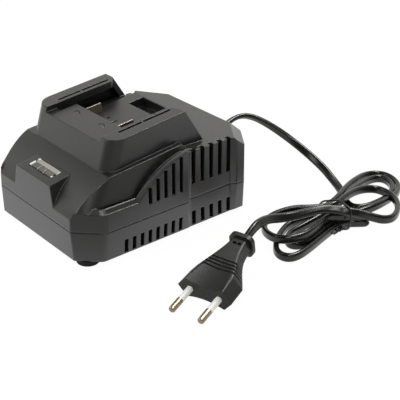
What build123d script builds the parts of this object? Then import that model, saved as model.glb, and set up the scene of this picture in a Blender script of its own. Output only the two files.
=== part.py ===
from build123d import *
import math
import os

# Slide-dock battery charger with a moulded mains lead. Millimetres, +Z up.
# The origin is under the middle of the case, on the table. The front faces -Y.

os.makedirs("parts", exist_ok=True)

# ---- overall sizes ----
WIDTH = 105.4
LENGTH = 137.0
FOOT_HEIGHT = 3.5
PARTING_Z = 22.7
FRONT_LIP_Z = 31.0
RIM_Z = 33.7
ROOF_Z = 54.1
RAIL_TOP_Z = 76.6
REF_WIDTH = 105.4
REF_LENGTH = 137.0

# ---- walls and drafts ----
WALL = 2.4
PART_GAP = 0.4
DRAFT_DEG = 1.5
BASE_DRAFT = 1.0
EDGE_R = 1.6
CHAMFER_R = 7.0
DRAFT_TOP_Z = 80.0

# ---- plan outline, stations from the front and offsets from the middle ----
FRONT_HALF = 38.7
CHAMFER_END = 14.4
RIB_STATION = 77.7
RECESS_FRONT = 80.5
RECESS_REAR = 113.4
FLARE_STATION = 117.0
RECESS_DEPTH = 2.5
BASE_RECESS = 0.4
REAR_CORNER_STATION = 123.6
REAR_HALF = 34.3

# ---- rim, fenders and shoulders ----
RIM_BEVEL_IN = 2.3
RIM_BEVEL_UP = 3.1
VALLEY_Z = 34.2
FENDER_THICK = 3.0
FENDER_OUTER = ((39.6, 33.7), (55.9, 46.5), (75.9, 55.0))
FENDER_INNER = ((38.6, 37.1), (55.0, 49.5), (75.9, 57.4))
GUTTER_DEPTH = 3.0
SHOULDER_Z = 53.2
SHOULDER_STATION = 35.3
SHOULDER_END = 78.0
CORNER_BLEND_R = 16.0
CORNER_LEAN = 0.81
ROOF_START = 83.0

# ---- roof and rear bevel ----
ROOF_REAR = 129.1
ROOF_REAR_HALF = 31.4
ROOF_CORNER_STATION = 116.8
ROOF_CORNER_HALF = 48.3
REAR_BEVEL_Z = 47.4

# ---- dock block ----
DOCK_HALF = 40.65
DOCK_TILT = 0.113
DOCK_PEAK = 83.7
DOCK_FRONT_R = 8.5
RAIL_INNER = 28.5
CHANNEL_HALF = 33.0
UNDERCUT_HALF = 36.0
DECK_DROP = 3.2
DECK_HALF = 24.3
DECK_START = 37.2
DECK_END = 48.9
CRESCENT_PLACES = ((-13.9, 41.5), (11.9, 41.5))
CRESCENT_R = 2.6
CRESCENT_DEPTH = 0.8
FLOOR_DROP = 10.7
FLOOR_HALF = 22.0
GROOVE_DROP = 15.7
LIP_THICK = 4.6
UNDERCUT_DROP = 6.4
SILL_STATION = 94.1
SILL_CUT_STATION = 85.3
SILL_CUT_ANGLE = 0.94
POCKET_HALF = 12.3
POCKET_FRONT = 79.6
POCKET_REAR = 91.2
POCKET_DEPTH = 6.0
RAIL_SLOT_OFFSET = 31.8
RAIL_SLOT_WIDTH = 2.1
RAIL_SLOT_STATIONS = ((40.6, 57.6), (58.8, 79.0))

# ---- contacts ----
BLADE_OFFSET = 16.8
BLADE_FRONT = 49.8
BLADE_REAR = 62.0
BLADE_THICK = 0.9
BLADE_DROP = 5.0
SIGNAL_OFFSETS = (-6.0, 1.2)
SIGNAL_STATION = 58.6

# ---- LED boss ----
BOSS_HALF = 21.2
BOSS_TOP_HALF = 18.2
BOSS_TOP_Z = 44.1
BOSS_SLOPE = 0.188
LENS_MID = -0.7
LENS_WIDTH = 24.0
LENS_FRONT = 5.1
LENS_DEPTH = 8.9
LENS_R = 2.5
LENS_THICK = 1.6

# ---- vent slots ----
SLOT_WIDTH = 2.8
SLOT_CORNER_R = 0.5
SLOT_PITCH = 5.93
LOWER_SLOT_COUNT = 8
LOWER_SLOT_START = 30.0
UPPER_SLOT_COUNT = 5
UPPER_SLOT_START = 47.7
SLOT_TOP_Z = 13.3
SLOT_SILL = 0.8
UPPER_SLOT_Z = 30.8
REAR_SLOT_WIDTH = 3.2
REAR_SLOT_START = 83.1
REAR_SLOT_PITCH = 7.2
REAR_SLOT_COUNT = 5
REAR_SLOT_Z = 31.6
ROOF_SLOT_INNER = 46.5

# ---- board and fixings ----
BOARD_Z = 14.0
BOARD_THICK = 1.6
BOARD_HALF = 35.0
BOARD_FRONT = 14.0
BOARD_REAR = 124.0
CLEARANCE = 0.2
CASE_SCREW_OFFSET = 43.0
CASE_SCREW_STATIONS = (24.0, 118.0)
CASE_SCREW_R = 1.5
CASE_HEAD_R = 2.9
CASE_HEAD_Z = 7.0
CASE_SCREW_TOP = 32.0
SCREW_BOSS_R = 4.0
BOSS_JOIN_Z = 20.0
BOARD_SCREW_OFFSET = 31.0
BOARD_SCREW_STATIONS = (19.0, 119.0)
FOOT_SEAT = 1.0
TONGUE_SKIN = 1.2
TONGUE_HEIGHT = 1.8

FOOT_OFFSET = 40.0
FOOT_STATIONS = (10.5, 121.0)
FOOT_R = 7.0
FOOT_SEAT_R = 5.0

# ---- pieces on the board: (offset, station) places and sizes ----
TRANSFORMER_PLACE = (7.0, 72.0)
CORE_WIDTH = 33.0
CORE_DEPTH = 14.0
CORE_HEIGHT = 27.0
CORE_LIMB = 4.0
CORE_CENTRE = 9.0
BULK_PLACE = (-19.0, 100.0)
BULK_R = 9.0
BULK_HEIGHT = 26.0
OUTPUT_PLACES = ((10.0, 30.0), (24.0, 30.0))
OUTPUT_R = 5.0
OUTPUT_HEIGHT = 18.0
HEAT_SINK_PLACE = (-27.0, 36.0, 84.0)
HEAT_SINK_HEIGHT = 26.0
CHOKE_PLACE = (20.0, 100.0)
FILM_PLACE = (2.0, 106.0)
FUSE_PLACE = (2.0, 117.5)
WIRE_STATION = 122.4
TERMINAL_HEIGHT = 9.0
LED_COUNT = 3

# ---- strain relief and mains lead ----
RELIEF_Z = 34.0
RELIEF_NECK_R = 4.2
RELIEF_TIP_R = 3.3
RELIEF_LENGTH = 16.0
RELIEF_INSIDE = 5.5
CORD_R = 2.1

# ---- plug: two round pins, 18.6 mm apart, 4 mm thick and 19 mm long ----
PLUG_FACE = (117.4, -34.5, 6.9)
PLUG_YAW = 0.28
PLUG_PITCH = 0.21
PIN_SPACING = 18.6
PIN_R = 2.0
PIN_LENGTH = 19.0
SLEEVE_LENGTH = 10.0
SLEEVE_ROOT_R = 1.75
SLEEVE_BORE_R = 1.5
PLUG_WIDTH = 35.3
PLUG_HEIGHT = 13.7
PLUG_FLAT = 24.4
PLUG_NOSE = 12.0
PLUG_LENGTH = 47.0
PLUG_BEND = 2.6
FLANGE_THICK = 3.5
PLUG_GROOVE_COUNT = 4
PLUG_GROOVE_DEPTH = 0.8
HOLLOW_DEPTH = 1.9
HOLLOW_R = 37.0
HOLLOW_FADE = 0.0875


def along(station):
    """Y of a station measured from the front face, stretched with LENGTH."""
    return (station / REF_LENGTH - 0.5) * LENGTH


def across(offset):
    """X of an offset measured from the middle plane, stretched with WIDTH."""
    return offset * WIDTH / REF_WIDTH


def solid_of(shape):
    """The largest solid of a result, with coplanar faces joined."""
    return max(shape.solids(), key=lambda s: s.volume).clean()


def save(name, *shapes):
    """Write one node. Several shapes become a group of separate solids."""
    solids = [s for shape in shapes for s in shape.solids()]
    body = solids[0] if len(solids) == 1 else Compound(children=solids)
    body.label = name
    export_step(body, "parts/" + name + ".step")


def box(x0, x1, y0, y1, z0, z1):
    """Box between three pairs of limits."""
    size = (x1 - x0, y1 - y0, z1 - z0)
    return Pos((x0 + x1) / 2, (y0 + y1) / 2, (z0 + z1) / 2) * Box(*size)


def beyond(point, normal):
    """Large block on the outer side of a plane."""
    plane = Plane(origin=point, z_dir=normal)
    return extrude(plane * Rectangle(500, 500), amount=300)


def plane_normal(a, b, c, outward):
    """Unit normal of three points, turned towards a given direction."""
    normal = (Vector(*b) - Vector(*a)).cross(Vector(*c) - Vector(*a)).normalized()
    return normal if normal.dot(Vector(*outward)) > 0 else normal * -1


def yz_prism(points, half):
    """Polygon given by (y, z) pairs, extruded to both sides of the middle."""
    face = make_face(Polyline(*[(0, y, z) for y, z in points], close=True))
    return extrude(face, amount=half, both=True)


def mirrored(shape):
    """A shape and its mirror image about the middle plane."""
    return shape + mirror(shape, about=Plane.YZ)


# ---- plan outline ----
def outline(z, inset, recess, draft=0.0):
    """Plan outline at height z. A draft moves the flat sides in but not the corners."""
    half = WIDTH / 2 - draft
    front = along(0) + draft
    rear = along(REF_LENGTH) - draft
    rear_x = across(REAR_HALF)
    rear_y = along(REAR_CORNER_STATION)
    rear_slope = (WIDTH / 2 - rear_x) / (along(REF_LENGTH) - rear_y)
    right = [
        (across(FRONT_HALF) + draft, front),
        (half, along(CHAMFER_END) - draft),
        (half, along(RIB_STATION)),
        (half - recess, along(RECESS_FRONT)),
        (half - recess, along(RECESS_REAR)),
        (half, along(FLARE_STATION)),
        (half, rear_y + draft / rear_slope),
        (rear_x + draft * rear_slope, rear),
    ]
    left = [(-x, y) for x, y in reversed(right)]
    face = make_face(Polyline(*(right + left), close=True))
    if inset:
        face = offset(face, amount=-inset, kind=Kind.INTERSECTION)
    plain = [v for v in face.vertices() if abs(v.X) < WIDTH * 0.45 or v.Y > along(20)]
    face = fillet(plain, EDGE_R)
    big = [v for v in face.vertices() if abs(v.X) > WIDTH * 0.45 and v.Y < along(20)]
    face = fillet(big, CHAMFER_R)
    return Pos(0, 0, z) * face


def walls(inset):
    """Drafted block that bounds the upper shell from the sides."""
    lean = (DRAFT_TOP_Z - PARTING_Z) * math.tan(math.radians(DRAFT_DEG))
    low = outline(PARTING_Z, inset, RECESS_DEPTH)
    high = outline(DRAFT_TOP_Z, inset + lean, RECESS_DEPTH)
    return loft([low, high], ruled=True)



# ---- dock frame: local y runs back up the slope, local z is normal to the rails ----
TILT = math.atan(DOCK_TILT)
DOCK = Plane(
    origin=(0, along(DOCK_PEAK), RAIL_TOP_Z),
    x_dir=(1, 0, 0),
    z_dir=(0, -math.sin(TILT), math.cos(TILT)),
)


def dock_y(station):
    """Local y in the dock frame of a station along the case."""
    return (along(station) - along(DOCK_PEAK)) / math.cos(TILT)


def dock_box(x0, x1, front, rear, z0, z1):
    """Box in the dock frame between two stations."""
    return DOCK * box(across(x0), across(x1), dock_y(front), dock_y(rear), z0, z1)


def rail_z(station):
    """Height of the rail-top plane at a station."""
    return RAIL_TOP_Z + DOCK_TILT * (along(station) - along(DOCK_PEAK))


def shoulder_z(station):
    """Height of the ledge beside the dock at a station."""
    return SHOULDER_Z + DOCK_TILT * (along(station) - along(SHOULDER_STATION))


def arc_face(start, middle, end, rest):
    """Face in the YZ plane bounded by one arc on top and straight sides below."""
    places = [(0, along(s), z) for s, z in (start, middle, end)]
    corners = [places[2]] + [(0, along(s), z) for s, z in rest] + [places[0]]
    return make_face(ThreePointArc(*places) + Polyline(*corners))


def core_profile(inset):
    """Side view of the front slope, the shoulder ledge and its drop to the roof."""
    slope = ThreePointArc(
        (0, along(-1.5), 27.8), (0, along(14.9), 46.4), (0, along(24.5), shoulder_z(24.5))
    )
    rest = Polyline(
        (0, along(24.5), shoulder_z(24.5)),
        (0, along(SHOULDER_END), shoulder_z(SHOULDER_END)),
        (0, along(ROOF_START), ROOF_Z),
        (0, along(ROOF_START + 6), ROOF_Z),
        (0, along(ROOF_START + 6), 0),
        (0, along(-1.5), 0),
        (0, along(-1.5), 27.8),
    )
    face = make_face(slope + rest)
    return offset(face, amount=-inset, kind=Kind.INTERSECTION) if inset else face


def rear_profile(inset):
    """Side view of the flat roof with its bevel down to the rear face."""
    points = [
        (along(75.5) + inset, 0),
        (along(75.5) + inset, ROOF_Z - inset),
        (along(ROOF_REAR) - inset / 2, ROOF_Z - inset),
        (along(136.6) - inset / 2, REAR_BEVEL_Z - inset),
        (along(140), REAR_BEVEL_Z - 4 - inset),
        (along(140), 0),
    ]
    return make_face(Polyline(*[(0, y, z) for y, z in points], close=True))


def side_walls(inset):
    """Block bounded by the scooped sides and front corners, blended together."""
    high = (across(44.15), along(23.4), 51.9)
    low = (across(48.5), along(40), 35.0)
    side = plane_normal(
        (across(44.3), along(23.4), 51.9), (across(44.7), along(75), 57.7), low, (1, 0, 0)
    )
    front = (across(41), along(5), 37.5)
    corner = Vector(1, -1, CORNER_LEAN).normalized()
    block = box(0, 90, along(-10), along(95), 10, 70)
    block = block - beyond(Vector(*high) - side * inset, side)
    block = block - beyond(Vector(*front) - corner * inset, corner)
    line = side.cross(corner).normalized()
    edge = [e for e in block.edges() if abs((e % 0.5).dot(line)) > 0.999]
    return mirrored(fillet(edge, CORNER_BLEND_R - inset))


def rear_corners(inset):
    """Blocks that cut the two rear corner facets of the roof."""
    a = (across(ROOF_REAR_HALF), along(ROOF_REAR), ROOF_Z)
    b = (across(ROOF_CORNER_HALF), along(ROOF_CORNER_STATION), ROOF_Z)
    c = (across(34.2), along(136.6), REAR_BEVEL_Z)
    normal = plane_normal(a, b, c, (1, 1, 1))
    return mirrored(beyond(Vector(*a) - normal * inset, normal))


def dock_body(inset):
    """Block that carries the rails and the dock floor."""
    half = across(DOCK_HALF) - inset
    points = [
        (along(15.0), 19.4),
        (along(30.5), rail_z(30.5)),
        (along(DOCK_PEAK), RAIL_TOP_Z),
        (along(DOCK_PEAK) + 0.655 * (RAIL_TOP_Z - 19.4), 19.4),
    ]
    face = make_face(Polyline(*[(0, y, z) for y, z in points], close=True))
    if inset:
        face = offset(face, amount=-inset, kind=Kind.INTERSECTION)
    block = extrude(face, amount=half, both=True)
    front = [e for e in block.edges() if abs(abs(e.center().X) - half) < 0.01]
    front = [e for e in front if e.center().Y < along(28) and e.length > 30]
    return fillet(front, DOCK_FRONT_R - inset)


def dock_sill(inset):
    """Rear end of the dock floor between the rails, with cut corners."""
    floor = rail_z(SILL_STATION) - FLOOR_DROP - inset
    edge = along(SILL_STATION) - inset
    front = along(70)
    points = [
        (front, floor - DOCK_TILT * (edge - front)),
        (edge, floor),
        (edge + 0.655 * (floor - 30.0), 30.0),
        (front, 30.0),
    ]
    block = yz_prism(points, across(CHANNEL_HALF) - inset)
    corner = (across(CHANNEL_HALF) - inset, along(SILL_CUT_STATION), floor)
    away = (math.cos(SILL_CUT_ANGLE), math.sin(SILL_CUT_ANGLE), 0)
    return block - mirrored(beyond(corner, away))


def boss_body(inset):
    """Block that carries the status lens."""
    lip_half = across(BOSS_HALF) - inset
    top_half = across(BOSS_TOP_HALF) - inset
    lean = (lip_half - top_half) / (BOSS_TOP_Z - FRONT_LIP_Z)
    low = FRONT_LIP_Z - 8
    low_half = lip_half + lean * 8
    high_half = lip_half - lean * 20
    points = [(-low_half, low), (low_half, low), (high_half, low + 28), (-high_half, low + 28)]
    face = make_face(Polyline(*[(x, along(-2), z) for x, z in points], close=True))
    block = extrude(face, amount=-along(26) + along(-2), dir=(0, -1, 0))
    top = (0, along(0.7), BOSS_TOP_Z - inset)
    return block - beyond(top, (0, -BOSS_SLOPE, 1))


def fenders():
    """Arched plates at the sides, bevelled inwards along their top edge."""
    outer = arc_face(*FENDER_OUTER, ((81.0, ROOF_Z), (81.0, 30), (39.6, 30)))
    inner = arc_face(*FENDER_INNER, ((81.0, ROOF_Z), (81.0, 30), (38.6, 30)))
    rim = WIDTH / 2 - RIM_BEVEL_IN
    plate = loft([Pos(WIDTH / 2, 0, 0) * outer, Pos(rim, 0, 0) * inner], ruled=True)
    back = extrude(Pos(rim, 0, 0) * inner, amount=FENDER_THICK - RIM_BEVEL_IN, dir=(-1, 0, 0))
    return mirrored(plate + back)


def gutter_fill(inset):
    """Body between the fenders and the core, under the gutter."""
    drop = GUTTER_DEPTH + inset
    face = arc_face(
        (40.0 + inset, 38.3 - drop),
        (55.0, 49.5 - drop),
        (75.9, 57.4 - drop),
        ((81.0, 54.1 - drop), (81.0, 10), (40.0 + inset, 10)),
    )
    half = WIDTH / 2 - FENDER_THICK + 0.5
    return extrude(face, amount=half - inset, both=True)


def rim_ring():
    """Raised bevelled rim that runs round the front corners and along the sides."""
    lean = math.tan(math.radians(DRAFT_DEG)) * (RIM_Z - PARTING_Z)
    low = outline(RIM_Z, lean, RECESS_DEPTH)
    high = outline(RIM_Z + RIM_BEVEL_UP, lean + RIM_BEVEL_IN, RECESS_DEPTH)
    ring = loft([low, high], ruled=True)
    base = extrude(outline(VALLEY_Z - 3, 0, RECESS_DEPTH), amount=RIM_Z - VALLEY_Z + 3)
    inside = extrude(outline(VALLEY_Z, RIM_BEVEL_IN + 1.2, RECESS_DEPTH), amount=10)
    ring = ring + base - inside
    return ring & box(-100, 100, along(-5), along(60), 20, 60)


def upper_form(inset):
    """Outer form of the upper shell, or the same form drawn in by the wall."""
    core = extrude(core_profile(inset), amount=across(50.6) - inset, both=True) & side_walls(inset)
    belt = box(-100, 100, along(-5), along(90), 10, VALLEY_Z - inset)
    form = core + belt
    if not inset:
        form = form + rim_ring()
    # The rim stops at the front corners, where the slope runs down to the front lip.
    slope = extrude(core_profile(inset), amount=100, both=True)
    front = box(-across(39.4), across(39.4), along(-5), along(12), 20, 70)
    form = form - (front - slope)
    form = form + gutter_fill(inset)
    rear = extrude(rear_profile(inset), amount=100, both=True) - rear_corners(inset)
    form = form + rear
    form = form + dock_body(inset) + dock_sill(inset) + boss_body(inset)
    if not inset:
        form = form + fenders()
    return solid_of(form & walls(inset))



def slot(width, y, z0, z1, x0, x1):
    """Vertical slot through a side wall, with softened corners."""
    middle = Plane(origin=(x0, y, (z0 + z1) / 2), x_dir=(0, 1, 0), z_dir=(1, 0, 0))
    face = middle * RectangleRounded(width, z1 - z0, SLOT_CORNER_R)
    return extrude(face, amount=x1 - x0)


def arc_height(points, station):
    """Height of the circle through three (station, z) points at a station."""
    (y0, z0), (y1, z1), (y2, z2) = [(along(s), z) for s, z in points]
    d = 2 * (y0 * (z1 - z2) + y1 * (z2 - z0) + y2 * (z0 - z1))
    a, b, c = y0**2 + z0**2, y1**2 + z1**2, y2**2 + z2**2
    cy = (a * (z1 - z2) + b * (z2 - z0) + c * (z0 - z1)) / d
    cz = (a * (y2 - y1) + b * (y0 - y2) + c * (y1 - y0)) / d
    return cz + math.sqrt((y0 - cy) ** 2 + (z0 - cz) ** 2 - (along(station) - cy) ** 2)


def outer_x():
    """X just outside the widest part of the case."""
    return WIDTH / 2 + 2


def lower_slots():
    """Slots through the lower side walls, down to a thin sill at the bottom edge."""
    inner = WIDTH / 2 - WALL - 2.5
    sill = FOOT_HEIGHT + SLOT_SILL
    cuts = []
    for i in range(LOWER_SLOT_COUNT):
        y = along(LOWER_SLOT_START + SLOT_PITCH * i)
        cuts.append(slot(SLOT_WIDTH, y, sill, SLOT_TOP_Z, inner, outer_x()))
    for i in range(REAR_SLOT_COUNT):
        y = along(REAR_SLOT_START + REAR_SLOT_PITCH * i)
        cuts.append(slot(REAR_SLOT_WIDTH, y, sill, SLOT_TOP_Z + 0.3, inner, outer_x()))
    return mirrored(sum(cuts[1:], cuts[0]))


def upper_slots():
    """Slots through the upper side walls. The rear ones run on into the roof."""
    inner = WIDTH / 2 - FENDER_THICK - 1.2
    cuts = []
    for i in range(UPPER_SLOT_COUNT):
        station = UPPER_SLOT_START + SLOT_PITCH * i
        y = along(station)
        top = arc_height(FENDER_OUTER, station) + 0.6
        cuts.append(slot(SLOT_WIDTH, y, UPPER_SLOT_Z, top, inner, outer_x()))
    for i in range(REAR_SLOT_COUNT):
        y = along(REAR_SLOT_START + REAR_SLOT_PITCH * i)
        start = across(ROOF_SLOT_INNER)
        cuts.append(slot(REAR_SLOT_WIDTH, y, REAR_SLOT_Z, ROOF_Z + 4, start, outer_x()))
    return mirrored(sum(cuts[1:], cuts[0]))


def dock_cuts():
    """Everything removed from the dock block: deck, floor, grooves, undercuts and slots."""
    over = 30
    cut = dock_box(-RAIL_INNER, RAIL_INNER, 5, DECK_END, -DECK_DROP, over)
    cut = cut + dock_box(-FLOOR_HALF - 1, FLOOR_HALF + 1, DECK_END, 130, -FLOOR_DROP, over)
    groove = dock_box(DECK_HALF, RAIL_INNER, DECK_START, 130, -GROOVE_DROP, over)
    groove = groove + dock_box(FLOOR_HALF, RAIL_INNER, DECK_END, 130, -GROOVE_DROP, over)
    groove = groove + dock_box(RAIL_INNER - 1, CHANNEL_HALF, DECK_START, 130, -GROOVE_DROP, -LIP_THICK)
    groove = groove + dock_box(RAIL_INNER - 1, CHANNEL_HALF, DOCK_PEAK, 130, -GROOVE_DROP, over)
    lip_end = (across(CHANNEL_HALF), along(DOCK_PEAK), RAIL_TOP_Z)
    lip_floor = RAIL_TOP_Z - LIP_THICK - 2
    chamfer = box(0, across(CHANNEL_HALF), along(70), along(100), lip_floor, 100)
    chamfer = chamfer & beyond(lip_end, (-0.66, 0.75, 0))
    groove = groove + chamfer
    under = dock_box(CHANNEL_HALF - 1, UNDERCUT_HALF, DECK_START, 120, -GROOVE_DROP, -UNDERCUT_DROP)
    end = (0, along(DOCK_PEAK) - 4.5, RAIL_TOP_Z)
    under = under - beyond(end, (0, 1, 0.655))
    return cut + mirrored(groove + under)


def deck_crescents():
    """Two shallow crescents moulded in the deck."""
    ring = Cylinder(CRESCENT_R, 4) - Cylinder(CRESCENT_R - 0.6, 4)
    ring = ring & Pos(0, CRESCENT_R, 0) * Box(9, 2 * CRESCENT_R, 4)
    z = 2 - DECK_DROP - CRESCENT_DEPTH
    return [DOCK * Pos(across(x), dock_y(s), z) * ring for x, s in CRESCENT_PLACES]


def rail_slots():
    """Thin slots through the lips of both rails."""
    half = RAIL_SLOT_WIDTH / 2
    low, high = RAIL_SLOT_OFFSET - half, RAIL_SLOT_OFFSET + half
    cuts = [dock_box(low, high, a, b, -LIP_THICK - 1, 5) for a, b in RAIL_SLOT_STATIONS]
    return mirrored(sum(cuts[1:], cuts[0]))


def lens_plane():
    """Plane of the boss top, centred on the lens."""
    y = along(LENS_FRONT + LENS_DEPTH / 2)
    z = BOSS_TOP_Z + BOSS_SLOPE * (y - along(0.7))
    return Plane(origin=(across(LENS_MID), y, z), x_dir=(1, 0, 0), z_dir=(0, -BOSS_SLOPE, 1))




# ---- upper shell ----
def dock_hollow():
    """Space under the dock floor, kept a wall away from the deck, floor and grooves."""
    side = across(CHANNEL_HALF + 5) - WALL
    low = dock_box(-60, 60, -20, 160, -60, -GROOVE_DROP - WALL)
    half = FLOOR_HALF - WALL
    low = low + dock_box(-half, half, DECK_END - WALL, 91, -60, -FLOOR_DROP - WALL)
    low = low + dock_box(-half, half, 31, DECK_END - WALL, -60, -DECK_DROP - WALL)
    beside = box(side, 60, along(-5), along(150), 0, 120)
    return low + mirrored(beside)


def post(x, y, radius, z0, z1):
    """Vertical round post."""
    return Pos(x, y, (z0 + z1) / 2) * Cylinder(radius, z1 - z0)


def corners(offset_x, stations):
    """The four mirrored places at an offset and two stations."""
    return [(s * across(offset_x), along(y)) for s in (-1, 1) for y in stations]


LENS = lens_plane()
RELIEF_AXIS = Plane(origin=(0, along(REF_LENGTH), RELIEF_Z), x_dir=(1, 0, 0), z_dir=(0, 1, 0))


def lens_shape(grow, z0, z1):
    """Rounded rectangular block on the lens axis."""
    face = RectangleRounded(LENS_WIDTH + 2 * grow, LENS_DEPTH + 2 * grow, LENS_R + grow)
    return LENS * Pos(0, 0, z0) * extrude(face, amount=z1 - z0)


def upper_shell():
    """Upper shell with dock, vents, lens opening, contact slots and screw bosses."""
    outer = upper_form(0)
    hollow = upper_form(WALL) & dock_hollow()
    shell = outer - hollow
    # A rebate inside the lower edge takes the tongue of the lower shell.
    rebate = outline(PARTING_Z, TONGUE_SKIN, RECESS_DEPTH)
    shell = shell - extrude(rebate, amount=TONGUE_HEIGHT + CLEARANCE)
    for x, y in corners(CASE_SCREW_OFFSET, CASE_SCREW_STATIONS):
        boss = post(x, y, SCREW_BOSS_R, BOSS_JOIN_Z + CLEARANCE, 70)
        inner = box(-200, 200, -200, 200, 0, PARTING_Z + 1)
        shell = shell + (boss & (outer + inner))
    dock = dock_cuts() & box(-100, 100, along(20), along(140), ROOF_Z, 120)
    shell = shell - dock - upper_slots() - rail_slots() - deck_crescents()
    half, front, rear = POCKET_HALF + WALL, POCKET_FRONT - WALL, POCKET_REAR + 1
    bottom = -FLOOR_DROP - POCKET_DEPTH
    pocket = dock_box(-half, half, front, rear, bottom - WALL, -FLOOR_DROP - 0.1)
    shell = shell + (pocket & outer)
    shell = shell - dock_box(-POCKET_HALF, POCKET_HALF, POCKET_FRONT, POCKET_REAR, bottom, 5)
    below = -FLOOR_DROP - 6
    for side in (-1, 1):
        x, wide = side * BLADE_OFFSET, BLADE_THICK / 2 + CLEARANCE
        front, rear = BLADE_FRONT - 0.6, BLADE_REAR + 0.6
        shell = shell - dock_box(x - wide, x + wide, front, rear, below, 0)
    front, rear = SIGNAL_STATION - 1.7, SIGNAL_STATION + 1.7
    for x in SIGNAL_OFFSETS:
        shell = shell - dock_box(x - 0.6, x + 0.6, front, rear, below, 0)
    shell = shell - lens_shape(CLEARANCE / 2, -LENS_THICK, 5) - lens_shape(-1.2, -10, 0)
    shell = shell - RELIEF_AXIS * Cylinder(RELIEF_NECK_R + 0.1, 40)
    for x, y in corners(CASE_SCREW_OFFSET, CASE_SCREW_STATIONS):
        shell = shell - post(x, y, CASE_SCREW_R + 0.05, 5, CASE_SCREW_TOP + 0.5)
    return solid_of(shell)


# ---- lower shell ----
def lower_shell():
    """Tray with vents, tongue, board posts, screw bosses and foot recesses."""
    top = PARTING_Z - PART_GAP
    outer = loft(
        [outline(FOOT_HEIGHT, 0, BASE_RECESS, BASE_DRAFT), outline(top, 0, RECESS_DEPTH)],
        ruled=True,
    )
    tongue = outline(top - 1, TONGUE_SKIN + CLEARANCE, RECESS_DEPTH)
    tongue = extrude(tongue, amount=TONGUE_HEIGHT + 1)
    hollow = loft(
        [
            outline(FOOT_HEIGHT + WALL, WALL, BASE_RECESS, BASE_DRAFT),
            outline(top, WALL, RECESS_DEPTH),
        ],
        ruled=True,
    )
    hollow = hollow + extrude(outline(top - 0.5, WALL, RECESS_DEPTH), amount=10)
    shell = (outer + tongue) - hollow
    floor = FOOT_HEIGHT + WALL - 0.5
    for x, y in corners(CASE_SCREW_OFFSET, CASE_SCREW_STATIONS):
        shell = shell + post(x, y, SCREW_BOSS_R, floor, BOSS_JOIN_Z)
    for x, y in corners(BOARD_SCREW_OFFSET, BOARD_SCREW_STATIONS):
        shell = shell + post(x, y, 3.2, floor, BOARD_Z - 0.05)
    shell = shell - lower_slots()
    for x, y in corners(CASE_SCREW_OFFSET, CASE_SCREW_STATIONS):
        shell = shell - post(x, y, CASE_SCREW_R + 0.2, 0, 40)
        shell = shell - post(x, y, CASE_HEAD_R + 0.3, 0, CASE_HEAD_Z + 2.2)
    for x, y in corners(BOARD_SCREW_OFFSET, BOARD_SCREW_STATIONS):
        shell = shell - post(x, y, 1.05, BOARD_Z - 6, BOARD_Z + 1)
    for x, y in corners(FOOT_OFFSET, FOOT_STATIONS):
        shell = shell - post(x, y, FOOT_SEAT_R, 0, FOOT_HEIGHT + FOOT_SEAT)
    return solid_of(shell)


def rubber_feet():
    """Four round rubber feet seated in shallow recesses."""
    feet = []
    for x, y in corners(FOOT_OFFSET, FOOT_STATIONS):
        foot = post(x, y, FOOT_R, 0, FOOT_HEIGHT - 0.05)
        foot = fillet(foot.edges().group_by(Axis.Z)[0], 0.8)
        top = FOOT_HEIGHT + FOOT_SEAT - 0.1
        feet.append(foot + post(x, y, FOOT_SEAT_R - 0.1, FOOT_HEIGHT - 0.5, top))
    return feet


def case_screws():
    """Four countersunk case screws driven up from below."""
    screws = []
    for x, y in corners(CASE_SCREW_OFFSET, CASE_SCREW_STATIONS):
        screw = post(x, y, CASE_SCREW_R, CASE_HEAD_Z, CASE_SCREW_TOP)
        screw = screw + post(x, y, CASE_HEAD_R, CASE_HEAD_Z, CASE_HEAD_Z + 2.1)
        cross = Pos(x, y, CASE_HEAD_Z) * (Box(3.6, 0.9, 2.4) + Box(0.9, 3.6, 2.4))
        screws.append(screw - cross)
    return screws


def board_screws():
    """Four small screws that hold the main board to its posts."""
    screws = []
    top = BOARD_Z + BOARD_THICK
    for x, y in corners(BOARD_SCREW_OFFSET, BOARD_SCREW_STATIONS):
        screw = post(x, y, 1.0, BOARD_Z - 5.5, top + 0.5) + post(x, y, 2.6, top + 0.05, top + 1.9)
        cross = Pos(x, y, top + 1.9) * (Box(2.8, 0.6, 1.6) + Box(0.6, 2.8, 1.6))
        screws.append(screw - cross)
    return screws




# ---- board and the pieces on it ----
BOARD_TOP = BOARD_Z + BOARD_THICK


def main_board():
    """Main circuit board with its four screw holes."""
    half = across(BOARD_HALF)
    board = box(-half, half, along(BOARD_FRONT), along(BOARD_REAR), BOARD_Z, BOARD_TOP)
    for x, y in corners(BOARD_SCREW_OFFSET, BOARD_SCREW_STATIONS):
        board = board - post(x, y, 1.3, 0, 40)
    return board


def block_at(x, station, width, depth, z0, z1):
    """Box centred on a place of the board."""
    cx, cy = across(x), along(station)
    return box(cx - width / 2, cx + width / 2, cy - depth / 2, cy + depth / 2, z0, z1)


def transformer():
    """Ferrite core round a wound bobbin."""
    x, s = TRANSFORMER_PLACE
    base, top = BOARD_TOP + 0.1, BOARD_TOP + CORE_HEIGHT
    core = block_at(x, s, CORE_WIDTH, CORE_DEPTH, base, top)
    window = CORE_WIDTH / 2 - CORE_LIMB - CORE_CENTRE / 2
    shift = (CORE_CENTRE + window) / 2
    coil = block_at(x, s, CORE_CENTRE + 2 * window - 0.6, CORE_DEPTH + 11, base + 5.3, top - 5.3)
    coil = fillet(coil.edges().filter_by(Axis.Z), 4)
    for side in (-1, 1):
        gap = block_at(x, s, window, CORE_DEPTH + 2, base + 5, top - 5)
        core = core - Pos(side * shift, 0, 0) * gap
    coil = coil - block_at(x, s, CORE_CENTRE + 0.6, CORE_DEPTH + 0.6, 0, 90)
    return core, coil


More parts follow.
